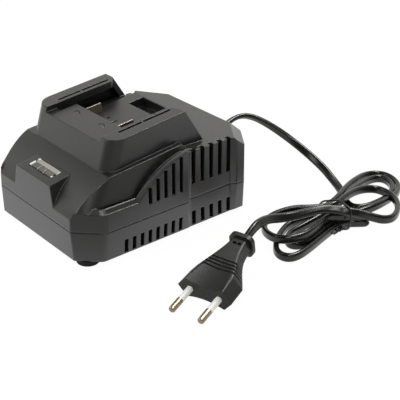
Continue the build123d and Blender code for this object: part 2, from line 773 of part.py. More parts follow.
def standing_can(x, station, radius, height):
    """Electrolytic capacitor with a beaded rim and a scored top."""
    can = post(across(x), along(station), radius, BOARD_TOP + 0.1, BOARD_TOP + height)
    can = fillet(can.edges().group_by(Axis.Z)[-1], 1.0)
    top = BOARD_TOP + height
    cross = Pos(across(x), along(station), top) * (Box(radius, 0.6, 0.6) + Box(0.6, radius, 0.6))
    return can - cross


def heat_sink():
    """Finned aluminium plate standing along the left edge of the board."""
    x, front, rear = HEAT_SINK_PLACE
    left = across(x)
    base, top = BOARD_TOP + 0.1, BOARD_TOP + HEAT_SINK_HEIGHT
    sink = box(left, left + 2.5, along(front), along(rear), base, top)
    count = 7
    step = (along(rear) - along(front) - 1.2) / (count - 1)
    for i in range(count):
        y = along(front) + step * i
        sink = sink + box(left - 5, left + 0.5, y, y + 1.2, base, top)
    return sink


def power_devices():
    """Two tab-backed semiconductors against the heat sink."""
    x, front, rear = HEAT_SINK_PLACE
    face = across(x) + 2.6
    devices = []
    for share in (0.28, 0.72):
        y = along(front) + (along(rear) - along(front)) * share
        body = box(face, face + 4.5, y - 5, y + 5, BOARD_TOP + 5, BOARD_TOP + 14)
        body = body + box(face, face + 1.3, y - 5, y + 5, BOARD_TOP + 13, BOARD_TOP + 20)
        for leg in (y - 2.5, y, y + 2.5):
            low, high = BOARD_TOP + 0.1, BOARD_TOP + 6
            body = body + box(face + 2, face + 2.6, leg - 0.4, leg + 0.4, low, high)
        devices.append(body)
    return devices


def mains_choke():
    """Wound ring lying on the board."""
    x, s = CHOKE_PLACE
    ring = post(across(x), along(s), 9.0, BOARD_TOP + 0.1, BOARD_TOP + 9)
    ring = ring - post(across(x), along(s), 4.2, 0, 60)
    return fillet(ring.edges(), 1.5)


def fuse():
    """Glass fuse between two clips."""
    x, s = FUSE_PLACE
    axis = Plane(origin=(across(x), along(s), BOARD_TOP + 4.2), z_dir=(1, 0, 0))
    glass = axis * Cylinder(2.3, 20)
    caps = [axis * Pos(0, 0, e * 7.6) * (Cylinder(2.6, 5) - Cylinder(2.3, 6)) for e in (-1, 1)]
    clips = []
    for e, cap in zip((-1, 1), caps):
        stand = block_at(x, s, 3.2, 5.6, BOARD_TOP + 0.1, BOARD_TOP + 3.2)
        stand = Pos(e * 7.6, 0, 0) * stand
        clips.append(cap + (stand - axis * Cylinder(2.5, 30)))
    return glass, clips


def film_capacitor():
    """Boxed film capacitor across the mains."""
    x, s = FILM_PLACE
    body = block_at(x, s, 18, 8, BOARD_TOP + 0.1, BOARD_TOP + 14.5)
    return fillet(body.edges().filter_by(Axis.Z), 1.0)


# ---- contacts under the dock floor ----
def terminal_block():
    """Block under the dock floor that grips the blades and the signal contacts."""
    top = -FLOOR_DROP - WALL - 0.1
    half = FLOOR_HALF - WALL - 0.4
    block = dock_box(-half, half, BLADE_FRONT - 1.4, BLADE_REAR + 1.4, top - TERMINAL_HEIGHT, top)
    for side in (-1, 1):
        x, wide = side * BLADE_OFFSET, BLADE_THICK / 2 + 0.05
        front, rear = BLADE_FRONT - 0.1, BLADE_REAR + 0.1
        block = block - dock_box(x - wide, x + wide, front, rear, top - 8.05, 0)
    front, rear = SIGNAL_STATION - 1.3, SIGNAL_STATION + 1.3
    for x in SIGNAL_OFFSETS:
        block = block - dock_box(x - 0.35, x + 0.35, front, rear, top - 8.05, 0)
    return block


def contact_blades():
    """Two flat blades that stand up through the dock floor."""
    bottom = -FLOOR_DROP - WALL - 8.1
    blades = []
    for side in (-1, 1):
        x, wide = side * BLADE_OFFSET, BLADE_THICK / 2
        blades.append(dock_box(x - wide, x + wide, BLADE_FRONT, BLADE_REAR, bottom, -BLADE_DROP))
    return blades


def signal_contacts():
    """Two small spring contacts, flush with the dock floor."""
    bottom = -FLOOR_DROP - WALL - 8.1
    front, rear = SIGNAL_STATION - 1.2, SIGNAL_STATION + 1.2
    top = -FLOOR_DROP - 0.4
    return [dock_box(x - 0.3, x + 0.3, front, rear, bottom, top) for x in SIGNAL_OFFSETS]


# ---- status lens ----
def status_lens():
    """Clear window in the boss, set a little proud."""
    lens = lens_shape(0, -LENS_THICK + 0.1, 0.25)
    return fillet(lens.edges().group_by(Axis(LENS.origin, LENS.z_dir))[-1], 0.2)


def led_reflector():
    """White frame under the lens with one well for each light."""
    body = LENS * Pos(0, 0, -LENS_THICK - 2.3) * Box(LENS_WIDTH - 3.4, LENS_DEPTH - 3.4, 4.4)
    step = (LENS_WIDTH - 4.6) / LED_COUNT
    for i in range(LED_COUNT):
        x = (i - (LED_COUNT - 1) / 2) * step
        body = body - LENS * Pos(x, 0, -LENS_THICK - 2.3) * Box(step - 1.0, LENS_DEPTH - 4.6, 10)
    return body


def led_chips():
    """Light-emitting chips, one in each well."""
    step = (LENS_WIDTH - 4.6) / LED_COUNT
    z = -LENS_THICK - 4.5 + 0.5
    places = [(i - (LED_COUNT - 1) / 2) * step for i in range(LED_COUNT)]
    return [LENS * Pos(x, 0, z) * Box(3.2, 1.6, 0.9) for x in places]


def led_board():
    """Small board that carries the chips and closes the reflector."""
    return LENS * Pos(0, 0, -LENS_THICK - 4.55 - 0.6) * Box(LENS_WIDTH + 2, LENS_DEPTH + 1.5, 1.2)


# ---- strain relief, wires inside and mains lead ----
def strain_relief():
    """Tapered bush held in the rear wall by its groove."""
    bush = RELIEF_AXIS * Pos(0, 0, -RELIEF_INSIDE / 2) * Cylinder(RELIEF_NECK_R, RELIEF_INSIDE)
    flange = RELIEF_AXIS * Pos(0, 0, -WALL - 1.0 - 0.9) * Cylinder(RELIEF_NECK_R + 1.4, 1.8)
    collar = RELIEF_AXIS * Pos(0, 0, 0.9) * Cylinder(RELIEF_NECK_R + 0.8, 1.6)
    cone = Pos(0, 0, RELIEF_LENGTH / 2) * Cone(RELIEF_NECK_R, RELIEF_TIP_R, RELIEF_LENGTH)
    bush = bush + flange + collar + RELIEF_AXIS * cone
    for i in range(4):
        ring = Cylinder(9, 1.0) - Cylinder(RELIEF_TIP_R - 0.3, 2)
        bush = bush - RELIEF_AXIS * Pos(0, 0, 4.2 + 2.6 * i) * (ring & Box(20, 5.0, 3))
    return bush


def tube(points, radius, bends):
    """Round tube along straight runs joined by tangent arcs."""
    route = FilletPolyline(*points, radius=bends)
    start = Plane(origin=route @ 0, z_dir=route % 0)
    return sweep(start * Circle(radius), path=route), route


def bend_radii(points):
    """Largest tangent arc each corner of a route allows, with room to spare."""
    places = [Vector(*p) for p in points]
    radii = []
    for a, b, c in zip(places, places[1:], places[2:]):
        turn = math.radians((b - a).get_angle(c - b))
        shorter = min((b - a).length, (c - b).length)
        radii.append(0.45 * shorter / math.tan(turn / 2))
    return radii


def cord_tube(points):
    """Lead tube along a route, with its bend radii and length."""
    radii = bend_radii(points)
    solid, route = tube(points, CORD_R, radii)
    share = solid.volume / (math.pi * CORD_R**2 * route.length)
    bends = [round(r) for r in radii]
    print("cord length", round(route.length, 1), "radii", bends, "fill", round(share, 3))
    return solid


def inner_wires():
    """Mains cores from the strain relief to the board, and battery leads to the blades."""
    start_y = along(REF_LENGTH) - RELIEF_INSIDE - 0.1
    mains = []
    for side in (-1, 1):
        points = [
            (side * 1.6, start_y, RELIEF_Z),
            (side * 1.6, start_y - 5, RELIEF_Z),
            (side * 8, along(WIRE_STATION), RELIEF_Z - 8),
            (side * 8, along(WIRE_STATION), BOARD_TOP + 0.2),
        ]
        mains.append(tube(points, 1.0, 2.4)[0])
    under = -FLOOR_DROP - WALL - TERMINAL_HEIGHT - 0.2
    battery = []
    for side in (-1, 1):
        middle = dock_y((BLADE_FRONT + BLADE_REAR) / 2)
        low = DOCK.from_local_coords(Vector(side * across(BLADE_OFFSET), middle, under))
        points = [
            (low.X, low.Y, low.Z),
            (low.X, low.Y, low.Z - 9),
            (low.X, along(44), BOARD_TOP + 12),
            (low.X, along(44), BOARD_TOP + 0.2),
        ]
        battery.append(tube(points, 1.2, 3.5)[0])
    return mains, battery


LEAD_ROUTE = [
    (0, along(REF_LENGTH) + RELIEF_LENGTH, RELIEF_Z),
    (-2.6, 94.5, 37.0),
    (-0.3, 108.5, 36.5),
    (11.5, 119.0, 29.6),
    (28.0, 130.0, 17.5),
    (52.0, 130.5, 10.5),
    (81.5, 122.6, 5.5),
]


# ---- plug ----
def plug_plane():
    """Plane of the plug face. Its normal points back along the plug."""
    flat, rise = math.cos(PLUG_PITCH), math.sin(PLUG_PITCH)
    back = (-flat * math.sin(PLUG_YAW), flat * math.cos(PLUG_YAW), rise)
    return Plane(
        origin=PLUG_FACE, x_dir=(math.cos(PLUG_YAW), math.sin(PLUG_YAW), 0), z_dir=back
    )


PLUG = plug_plane()


def hexagon(depth, width, height, flat, aside=0.0):
    """Six-sided section of the plug at a depth behind its face, set aside by an amount."""
    points = [
        (width / 2, 0),
        (flat / 2, height / 2),
        (-flat / 2, height / 2),
        (-width / 2, 0),
        (-flat / 2, -height / 2),
        (flat / 2, -height / 2),
    ]
    face = make_face(Polyline(*[(x, y, 0) for x, y in points], close=True))
    face = fillet(face.vertices().filter_by(lambda v: abs(v.Y) > 1), 1.8)
    tips = face.vertices().filter_by(lambda v: abs(v.Y) < 1)
    return Pos(-aside, 0, depth) * fillet(tips, 0.9)


def plug_form(slim):
    """Body of the plug in its own frame, with its height reduced by an amount."""
    behind = hexagon(PLUG_NOSE, PLUG_WIDTH - 0.5, PLUG_HEIGHT + 0.6 - slim, PLUG_FLAT - 1.6)
    nose = loft([hexagon(0, PLUG_WIDTH, PLUG_HEIGHT - slim, PLUG_FLAT), behind], ruled=True)
    neck = PLUG_LENGTH - FLANGE_THICK
    waist = loft(
        [
            behind,
            hexagon(17, 29.5, 14.1 - slim, 20.4, 0.15 * PLUG_BEND),
            hexagon(22, 24.2, 13.6 - slim, 17.4, 0.35 * PLUG_BEND),
            hexagon(28, 19.0, 12.8 - slim, 14.0, 0.6 * PLUG_BEND),
            hexagon(35, 15.6, 12.0 - slim, 10.8, 0.8 * PLUG_BEND),
            hexagon(neck, 13.4, 11.2 - slim, 9.2, PLUG_BEND),
        ]
    )
    return nose + waist


def hollowed(form, deep=0.0):
    """Plug form with a shallow thumb hollow along each broad face, deepest at the front edge."""
    for side in (-1, 1):
        away = side * (PLUG_HEIGHT / 2 - HOLLOW_DEPTH - deep + HOLLOW_R)
        axis = Plane(origin=(0, away, 0), x_dir=(1, 0, 0), z_dir=(0, side * HOLLOW_FADE, 1))
        form = form - axis * Cylinder(HOLLOW_R, 90)
    return form


def plug_body():
    """Moulded plug with its thumb hollows, grip grooves, window slots and tail flange."""
    body = hollowed(plug_form(0))
    inner = hollowed(plug_form(2 * PLUG_GROOVE_DEPTH), PLUG_GROOVE_DEPTH)
    for i in range(PLUG_GROOVE_COUNT):
        slab = Pos(0, 0, PLUG_NOSE + 3.3 + 2.5 * i) * Box(60, 40, 1.2)
        body = body - (slab - inner)
    flange = extrude(RectangleRounded(15.6, 14.4, 4.2), amount=FLANGE_THICK)
    flange = Pos(-PLUG_BEND, 0, PLUG_LENGTH - FLANGE_THICK) * flange
    body = body + fillet(flange.edges().group_by(Axis.Z)[-1], 0.9)
    for side in (-1, 1):
        body = body - Pos(side * 1.5 - 0.8 * PLUG_BEND, 0, PLUG_LENGTH - 8.3) * Box(2.6, 30, 1.9)
    for side in (-1, 1):
        body = body - Pos(side * PIN_SPACING / 2, 0, 0) * Cylinder(SLEEVE_ROOT_R + 0.05, 24)
    return PLUG * body


def pin_places():
    """Plug-frame positions of the two pins."""
    return [Pos(side * PIN_SPACING / 2, 0, 0) for side in (-1, 1)]


def plug_pins():
    """Round pins, thinner inside their sleeves and domed at the tip."""
    tip_length = PIN_LENGTH - SLEEVE_LENGTH
    pins = []
    for place in pin_places():
        tip = Pos(0, 0, -SLEEVE_LENGTH - tip_length / 2 - 0.05) * Cylinder(PIN_R, tip_length)
        tip = fillet(tip.edges().group_by(Axis.Z)[0], 1.1)
        core = Pos(0, 0, (11 - SLEEVE_LENGTH - 1) / 2) * Cylinder(SLEEVE_BORE_R - 0.05, 12 + SLEEVE_LENGTH)
        pins.append(PLUG * (place * (tip + core)))
    return pins


def pin_sleeves():
    """Insulating sleeves on the root half of each pin, narrower inside the plug."""
    sleeves = []
    for place in pin_places():
        ring = Pos(0, 0, -SLEEVE_LENGTH / 2) * Cylinder(PIN_R, SLEEVE_LENGTH)
        root = Pos(0, 0, 5) * Cylinder(SLEEVE_ROOT_R, 12)
        sleeve = ring + root - Cylinder(SLEEVE_BORE_R, 60)
        sleeves.append(PLUG * (place * sleeve))
    return sleeves


TAIL_START = PLUG.from_local_coords(Vector(-PLUG_BEND, 0, PLUG_LENGTH))
TAIL_ROUTE = [
    (TAIL_START.X, TAIL_START.Y, TAIL_START.Z),
    (97.5, 31.0, 21.0),
    (95.5, 45.0, 18.0),
    (99.0, 60.0, 11.0),
]


# ---- hank and its tie ----
HANK_OUTLINE = [
    (78, 47), (90, 36), (104, 31), (118, 33),
    (122, 45), (113, 75), (110, 97), (124, 112),
    (122, 130), (108, 152), (90, 166), (76, 166),
    (72, 150), (83, 110), (84, 95), (80, 70),
]
HANK_HEIGHT = 13.0
TIE_PLACE = (103.5, 95.5)
TIE_YAW = -25.0
TIE_WIDTH = 2.0


def hank_face(grow):
    """Plan outline of the tied hank."""
    face = make_face(Polyline(*[(x, y, 0) for x, y in HANK_OUTLINE], close=True))
    face = fillet(face.vertices(), 4.0)
    return offset(face, amount=grow, kind=Kind.INTERSECTION) if grow else face


def cord_hank():
    """Closed outer shape of the tied hank."""
    hank = extrude(Pos(0, 0, 0.1) * hank_face(0), amount=HANK_HEIGHT)
    return chamfer(hank.edges().group_by(Axis.Z)[-1], 2.0)


def twist_tie():
    """Strip that straps the waist of the hank, with two twisted ends."""
    x, y = TIE_PLACE
    height = HANK_HEIGHT + 1.0
    band = Pos(x, y, 0.2 + height / 2) * Rot(0, 0, TIE_YAW) * Box(70, TIE_WIDTH, height)
    outer = extrude(hank_face(1.3), amount=HANK_HEIGHT + 5)
    strap = band & (outer - extrude(hank_face(0.2), amount=HANK_HEIGHT + 0.2))
    end = Pos(x, y, HANK_HEIGHT + 2.0) * Box(1.4, 1.4, 3)
    return strap + end


# ---- write the nodes ----
save("upper_shell", upper_shell())
save("lower_shell", lower_shell())
save("rubber_feet", *rubber_feet())
save("case_screws", *case_screws())
save("board_screws", *board_screws())
save("main_board", main_board())
core, coil = transformer()
save("transformer_core", core)
save("transformer_winding", coil)
save("bulk_capacitor", standing_can(*BULK_PLACE, BULK_R, BULK_HEIGHT))
save("output_capacitors", *[standing_can(x, s, OUTPUT_R, OUTPUT_HEIGHT) for x, s in OUTPUT_PLACES])
save("heat_sink", heat_sink())
save("power_devices", *power_devices())
save("mains_choke", mains_choke())
glass, clips = fuse()
save("fuse_tube", glass)
save("fuse_clips", *clips)
save("film_capacitor", film_capacitor())
save("terminal_block", terminal_block())
save("contact_blades", *contact_blades())
save("signal_contacts", *signal_contacts())
save("status_lens", status_lens())
save("led_reflector", led_reflector())
save("led_chips", *led_chips())
save("led_board", led_board())
mains, battery = inner_wires()
save("mains_wires", *mains)
save("battery_wires", *battery)
save("strain_relief", strain_relief())
save("cord_lead", cord_tube(LEAD_ROUTE))
save("cord_hank", cord_hank())
save("cord_tail", cord_tube(TAIL_ROUTE))
save("twist_tie", twist_tie())
save("plug_body", plug_body())
save("plug_pins", *plug_pins())
save("pin_sleeves", *pin_sleeves())
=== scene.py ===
"""Studio view of a slide-dock battery charger with its plug and its tied mains lead.

The mains lead, its wire tie and the status lens are made here in more detail than in the CAD. Every other
piece is the CAD's own, with materials.
"""

import math

import bmesh
import bpy
from mathutils import Matrix, Vector


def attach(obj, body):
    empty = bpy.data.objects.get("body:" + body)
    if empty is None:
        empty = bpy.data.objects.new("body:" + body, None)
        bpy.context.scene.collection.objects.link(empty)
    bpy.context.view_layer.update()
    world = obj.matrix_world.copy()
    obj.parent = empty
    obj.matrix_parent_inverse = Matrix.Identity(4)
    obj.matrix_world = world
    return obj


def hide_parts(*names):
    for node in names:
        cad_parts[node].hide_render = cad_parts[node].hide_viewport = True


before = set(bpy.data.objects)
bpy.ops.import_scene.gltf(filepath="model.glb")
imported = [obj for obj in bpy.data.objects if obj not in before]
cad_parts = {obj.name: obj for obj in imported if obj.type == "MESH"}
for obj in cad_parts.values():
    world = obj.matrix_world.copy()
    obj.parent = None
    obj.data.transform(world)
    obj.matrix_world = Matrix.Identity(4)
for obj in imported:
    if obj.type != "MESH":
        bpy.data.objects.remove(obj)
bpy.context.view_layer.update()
scene = bpy.context.scene
MM = 0.001


# ---- camera ----
FRAME_PX = 400
SENSOR_MM = 36


def make_camera(place_mm, azimuth, elevation, roll, focal_px, centre_px):
    """Camera from its place, the direction that it looks back along, its roll, focal length and centre."""
    a, e, r = (math.radians(v) for v in (azimuth, elevation, roll))
    back = Vector((math.sin(a) * math.cos(e), -math.cos(a) * math.cos(e), math.sin(e)))
    level = Vector((math.cos(a), math.sin(a), 0))
    up = back.cross(level)
    right = level * math.cos(r) + up * math.sin(r)
    up = up * math.cos(r) - level * math.sin(r)
    data = bpy.data.cameras.new("studio_camera")
    data.sensor_width = SENSOR_MM
    data.lens = SENSOR_MM * focal_px / FRAME_PX
    data.shift_x = (FRAME_PX / 2 - centre_px[0]) / FRAME_PX
    data.shift_y = (centre_px[1] - FRAME_PX / 2) / FRAME_PX
    data.clip_start = 0.01
    data.clip_end = 50
    camera = bpy.data.objects.new("studio_camera", data)
    camera.matrix_world = Matrix(
        [
            (right.x, up.x, back.x, place_mm[0] * MM),
            (right.y, up.y, back.y, place_mm[1] * MM),
            (right.z, up.z, back.z, place_mm[2] * MM),
            (0, 0, 0, 1),
        ]
    )
    scene.collection.objects.link(camera)
    scene.camera = camera


make_camera(
    place_mm=(435.98, -319.45, 292.99),
    azimuth=48.70,
    elevation=28.05,
    roll=1.20,
    focal_px=935.4,
    centre_px=(199.4, 199.7),
)


# ---- mains lead: one flat twin cord from the case through the hank to the plug ----
# Each point is x, y, z in millimetres and the tilt of the cord's flat side in degrees.
LEAD = [
    (0, 84.5, 34, 60), (-2.6, 94.5, 37.0, 60), (-0.3, 108.5, 36.5, 50), (11.5, 119.0, 29.6, 20),
    (28, 130, 17.5, -10), (52, 130.5, 9.5, -50), (64.8, 128.4, 4.5, -80), (77.4, 123.9, 2.0, -90),
    (90.6, 112.6, 2.3, -80),
]
INNER_TURN = [
    (99.6, 110.6, 2.9, -40), (103.6, 117.6, 2.95, 0), (104.2, 128.1, 2.95, 0), (103.8, 137.7, 2.95, 0),
    (100.1, 149.2, 2.95, 0), (92.5, 157.5, 2.95, 0), (83.7, 160.1, 2.95, 0), (79.5, 155.6, 2.95, 0),
    (79.9, 144.8, 4, 0), (84.4, 128.9, 6, 0), (89.1, 113.9, 6.8, 0), (94.1, 98.6, 6.6, 0),
    (95.6, 85.7, 5.2, 0), (95.6, 74.7, 4, 0), (95.5, 64.5, 3.1, 0), (95.9, 55.9, 2.95, 0),
    (99.2, 48.4, 2.95, 0), (104.6, 44.8, 2.95, 0), (109.4, 47.5, 2.95, 0), (110.6, 55.0, 2.95, 0),
    (107.8, 68.5, 3, 0), (104.6, 82.5, 3.4, 0), (105.0, 94.4, 4.2, 0),
]
OUTER_TURN = [
    (107.1, 102.5, 5, 0), (109.5, 111.1, 6, 0), (110.0, 122.5, 6, 0), (107.0, 136.6, 4.5, 0),
    (104.1, 148.9, 3, 0), (97.5, 158.9, 2.95, 0), (88.1, 164.1, 2.95, 0), (80.3, 164.3, 2.95, 0),
    (74.8, 160.1, 3, 0), (73.1, 150.2, 4, 0), (77.4, 133.4, 6, 0), (83.0, 118.4, 7, 0),
    (89.3, 104.4, 7.5, 0), (92.1, 90.2, 7.2, 0), (90.5, 79.0, 5.6, 0), (88.5, 68.4, 4.2, 0),
    (88.6, 58.8, 3.2, 0), (93.7, 47.1, 2.95, 0), (101.2, 36.4, 2.95, 0), (108.6, 31.2, 2.95, 0),
    (115.3, 32.3, 2.95, 0), (117.9, 39.0, 2.95, 0), (115.6, 52.0, 2.95, 0), (111.6, 67.8, 2.95, 0),
    (108.4, 82.4, 2.95, 0), (109.6, 92.4, 3, 0),
]
UPPER_TURN = [
    (114.8, 97.6, 3.5, 10), (119.5, 98.9, 5.5, 0), (116.9, 98.8, 8, -10), (111.5, 93.9, 8.8, 0),
    (108.1, 86.4, 8.9, 0), (103.3, 80.5, 9, 0), (107.9, 66.4, 9, 0), (110.4, 54.9, 9, 0),
    (109.9, 46.7, 9, 0), (106.4, 39.1, 8.8, 0), (98.3, 36.7, 7.5, 0), (87.2, 40.6, 5.5, 0),
    (79.8, 47.9, 5, 0), (77.5, 53.5, 6, 0), (79.4, 62.0, 8, 0), (83.1, 71.7, 9, 0),
    (89.4, 79.7, 9, 0), (93.9, 87.8, 9, 0), (97.3, 94.3, 10, 0), (93.7, 107.1, 10, 0),
    (90.9, 120.5, 9, 0), (91.4, 131.3, 7.5, 0), (95.2, 138.2, 6.5, 0), (103.9, 139.1, 6.5, 0),
    (113.1, 136.0, 6.5, 0), (122.0, 127.4, 6.5, 0), (128.4, 114.9, 7, 0), (127.3, 106.2, 8, 0),
]
TAIL = [
    (122.9, 100.5, 10, 0), (117.4, 95.2, 12, 10), (113.0, 88.6, 13.8, 30), (107.5, 83.6, 14.8, 50),
    (102.1, 76.5, 15.4, 60), (100.0, 66.0, 16, 60), (98.7, 55.0, 16.6, 50), (96.2, 45.2, 17.2, 40),
    (95.2, 36.0, 19.6, 40), (97.0, 26.4, 21.4, 30), (99.4, 17.6, 20.4, 10), (102.3, 8.2, 16.5, 0),
]
# Sizes are in metres. The steps divide the section's round edges, the curve and the round wire.
CORD_WIDTH = 0.0058
CORD_EDGE_R = 0.0018
CORD_WAIST = 0.00012
CORD_EDGE_STEPS = 10
CURVE_STEPS = 8
ROUND_STEPS = 4


def spline_mesh(name, points, tilts=None, profile=None, radius=0.0):
    """Mesh of a smooth open curve on control points in millimetres.

    It is swept by a profile or by a circle of a radius. Without either it is a bare line.
    """
    data = bpy.data.curves.new(name, "CURVE")
    data.dimensions = "3D"
    data.resolution_u = CURVE_STEPS
    data.twist_mode = "Z_UP"
    spline = data.splines.new("NURBS")
    spline.points.add(len(points) - 1)
    for i, (point, place) in enumerate(zip(spline.points, points)):
        point.co = (*(v * MM for v in place[:3]), 1)
        if tilts:
            point.tilt = math.radians(tilts[i])
    spline.order_u = 3
    spline.use_endpoint_u = True
    data.bevel_depth = radius
    data.bevel_resolution = ROUND_STEPS
    data.use_fill_caps = True
    if profile:
        data.bevel_mode = "OBJECT"
        data.bevel_object = profile
    helper = bpy.data.objects.new(name, data)
    scene.collection.objects.link(helper)
    view = bpy.context.evaluated_depsgraph_get()
    mesh = bpy.data.meshes.new_from_object(helper.evaluated_get(view))
    bpy.data.objects.remove(helper)
    bpy.data.curves.remove(data)
    return mesh


def shown(name, mesh, smooth=True):
    """Object for a finished mesh, on the part's body."""
    obj = bpy.data.objects.new(name, mesh)
    scene.collection.objects.link(obj)
    for face in mesh.polygons:
        face.use_smooth = smooth
    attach(obj, "root")
    return obj


def cord_profile():
    """Section of a flat twin cord: a round edge at each end, and a faint waist between them."""
    flat = CORD_WIDTH / 2 - CORD_EDGE_R
    ring = []
    for side in (1, -1):
        for i in range(CORD_EDGE_STEPS + 1):
            angle = math.pi * (i / CORD_EDGE_STEPS - 0.5)
            across = side * CORD_EDGE_R * math.sin(angle)
            out = side * (flat + CORD_EDGE_R * math.cos(angle))
            ring.append((across, out))
        ring.append((side * (CORD_EDGE_R - CORD_WAIST), 0))
    data = bpy.data.curves.new("cord_section", "CURVE")
    data.dimensions = "2D"
    spline = data.splines.new("POLY")
    spline.points.add(len(ring) - 1)
    for point, (across, out) in zip(spline.points, ring):
        point.co = (across, out, 0, 1)
    spline.use_cyclic_u = True
    obj = bpy.data.objects.new("cord_section", data)
    scene.collection.objects.link(obj)
    return obj


# ---- wire tie round the hank: one wire with its ends twisted together ----
TIE_WIRE_R = 0.00062
# Each point is x, y, z in millimetres.
TIE_WIRE = [
    (112.1, 76.9, 1.6), (112.9, 79.6, 2.6), (111.8, 82.2, 3.2), (112.7, 84.6, 2.4), (111.2, 87.4, 1.0),
    (114.6, 88, 2.4), (115.4, 88, 7), (115.6, 88, 11.6), (114.8, 88, 16.4), (110.2, 88, 18.0),
    (105.6, 88, 18.6), (101.1, 88, 17.6), (96.5, 88, 15), (92, 88, 13), (89.0, 88, 9.4),
    (88.2, 88, 5.3), (92.5, 88, 2.0), (97.1, 88, 1.1), (101.6, 88, 0.9), (106.2, 88, 0.9),
    (110.2, 87.2, 1.6), (111.7, 84.6, 3.2), (112.8, 82.2, 2.0), (111.4, 79.8, 3.0), (109.4, 81.4, 3.4),
]
tie = shown("wire_tie", spline_mesh("wire_tie", TIE_WIRE, radius=TIE_WIRE_R))
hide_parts("twist_tie")

# ---- the cord, in place of the CAD's lead, hank and tail ----
route = LEAD + INNER_TURN + OUTER_TURN + UPPER_TURN + TAIL
centre = spline_mesh("cord_line", route)
bpy.data.meshes.remove(centre)
section = cord_profile()
lead = shown("mains_lead", spline_mesh("mains_lead", route, [p[3] for p in route], section))
bpy.data.objects.remove(section)
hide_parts("cord_lead", "cord_hank", "cord_tail")

# ---- status lens: clear block with three wells, two ribs between them, a light bar behind, painted highlights at its ends and painted shade in its gaps ----
LENS_CENTRE = Vector((-0.7, -58.95, 45.76))
LENS_SLOPE = math.atan(0.188)
LENS_FLOOR = -1.4
LENS_CHAMFER = 0.12
CORNER_STEPS = 4
# Each piece has its corners in order from the front left, its corner radius and its top, in millimetres, and
# its finish. The near-white end pieces are painted highlights, and the near-black base is painted shade
# between pieces.
LENS_PIECES = [
    ([(-12, -4.45), (12, -4.45), (12, 4.45), (-12, 4.45)], 2.4, -0.7, "painted_shade_tray"),
    ([(-10.7, 0.6), (11.3, 0.6), (11.5, 3.9), (-11.3, 3.9)], 1.2, 0.25, "bar"),
    ([(-11.9, -3.5), (-10.1, -3.5), (-10.4, 0.8), (-11.9, 1.4)], 0.8, 0.15, "painted_glint"),
    ([(-11.9, 2.6), (-9.6, 3.3), (-9.8, 4.2), (-11.4, 4.0)], 0.3, 0.3, "painted_glint"),
    ([(-9.7, -3.3), (-3.6, -3.3), (-4.1, 0.4), (-9.9, 0.4)], 0.3, -0.15, "well"),
    ([(-2.4, -3.3), (2.7, -3.3), (1.5, 0.4), (-3.1, 0.4)], 0.3, -0.15, "well"),
    ([(3.8, -3.3), (10.3, -3.3), (10.7, 0.4), (2.5, 0.4)], 0.3, -0.15, "well"),
    ([(-3.3, -3.7), (-2.6, -3.7), (-3.3, 0.5), (-4.0, 0.5)], 0.1, 0.05, "bar"),
    ([(2.9, -3.7), (3.6, -3.7), (2.3, 0.5), (1.7, 0.5)], 0.1, 0.05, "bar"),
    ([(10.6, -3.2), (11.7, -3.0), (11.7, -1.7), (10.8, -1.8)], 0.3, 0.1, "painted_glint"),
    ([(11.6, 0.2), (12.0, 0.6), (11.9, 3.4), (11.4, 3.9)], 0.2, 0.1, "painted_glint"),
]
LENS_FINISHES = ["painted_shade_tray", "bar", "painted_glint", "well"]


def rounded(corners, radius):
    """Outline with each corner cut by a smooth arc."""
    outline = []
    for i, corner in enumerate(corners):
        here = Vector(corner)
        before = here + (Vector(corners[i - 1]) - here).normalized() * radius
        after = here + (Vector(corners[(i + 1) % len(corners)]) - here).normalized() * radius
        for k in range(CORNER_STEPS + 1):
            t = k / CORNER_STEPS
            outline.append(before * (1 - t) ** 2 + here * 2 * t * (1 - t) + after * t ** 2)
    return outline


def raised_block(mesh, outline, high, finish):
    """Block on an outline, from the lens's floor up, with a chamfer round its top."""
    middle = sum(outline, Vector((0, 0))) / len(outline)
    inner = [p + (middle - p).normalized() * LENS_CHAMFER for p in outline]
    rings = []
    for ring, z in ((outline, LENS_FLOOR), (outline, high - LENS_CHAMFER), (inner, high)):
        rings.append([mesh.verts.new((p.x, p.y, z)) for p in ring])
    faces = [mesh.faces.new(rings[2]), mesh.faces.new(rings[0][::-1])]
    for lower, upper in zip(rings, rings[1:]):
        for i in range(len(outline)):
            k = (i + 1) % len(outline)
            faces.append(mesh.faces.new((lower[i], lower[k], upper[k], upper[i])))
    for face in faces:
        face.material_index = finish


def status_lens():
    """Lens from its raised pieces, on the sloping top of the front block."""
    mesh = bmesh.new()
    for corners, radius, top, finish in LENS_PIECES:
        raised_block(mesh, rounded(corners, radius), top, LENS_FINISHES.index(finish))
    turn = Matrix.Rotation(LENS_SLOPE, 4, "X")
    mesh.transform(Matrix.Scale(MM, 4) @ Matrix.Translation(LENS_CENTRE) @ turn)
    data = bpy.data.meshes.new("lens_block")
    mesh.to_mesh(data)
    mesh.free()
    return shown("lens_block", data, smooth=False)


lens_block = status_lens()
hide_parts("status_lens")


# ---- materials ----
MOTTLE_SCALE, MOTTLE_DETAIL = 60.0, 4.0
MOTTLE_SPAN = (0.35, 0.65)
GRAIN_DETAIL = 2.0
GLOSS_CHANGE = 0.05
LEAST_ROUGH = 0.02
# Painted shade: ambient occlusion within a reach darkens the base colour, fading it to black over this span.
PAINTED_SHADE_SPAN = (0.1, 0.5)
CASE_PAINTED_SHADE_REACH = 0.004
INSIDE_PAINTED_SHADE_REACH = 0.03
RAY_SAMPLES = 8
BLACK = (0, 0, 0, 1)


def join(links, *joints):
    """Link nodes: each joint names a node and its output, then a node and its input."""
    for source, output, target, socket in joints:
        links.new(source.outputs[output], target.inputs[socket])


def map_range(nodes, source_span, result_span, smooth=False):
    """Node that maps one span of values to another."""
    node = nodes.new("ShaderNodeMapRange")
    if smooth:
        node.interpolation_type = "SMOOTHSTEP"
    for socket, value in zip(("From Min", "From Max", "To Min", "To Max"), (*source_span, *result_span)):
        node.inputs[socket].default_value = value
    return node


